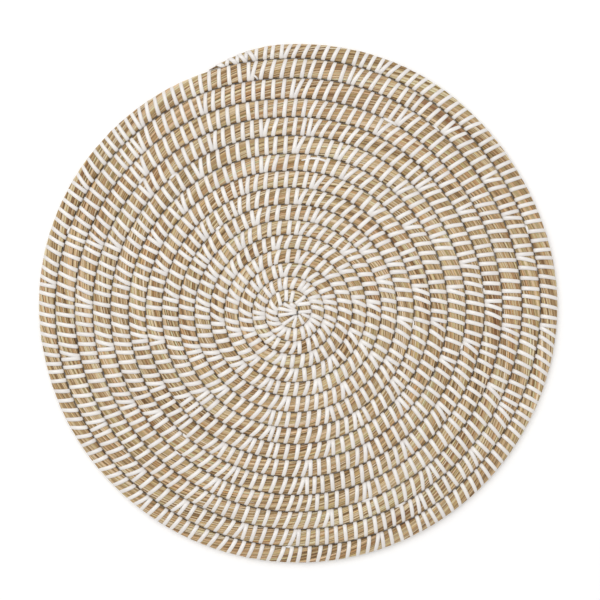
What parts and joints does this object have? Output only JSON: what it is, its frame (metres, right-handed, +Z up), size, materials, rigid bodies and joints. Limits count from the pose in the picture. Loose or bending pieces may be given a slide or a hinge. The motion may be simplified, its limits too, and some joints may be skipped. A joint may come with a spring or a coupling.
{
  "type": "round grass placemat",
  "caption": "Round placemat coiled from one bundle of dried grass and lashed turn to turn with white strap.",
  "frame": {"origin": "the middle of the mat's outline, on the surface it lies on", "axes": "+Z up out of the mat's upper face, -Y towards the viewer of the picture's lower edge, +X to the right in the picture"},
  "size_m": [0.3816, 0.382, 0.008],
  "materials": {
    "dried_grass": "matte dried grass stems, straw to brown",
    "white_strap": "glossy white plastic strap"
  },
  "bodies": {
    "root": {"grass_mat": "dried_grass"}
  },
  "joints": []
}
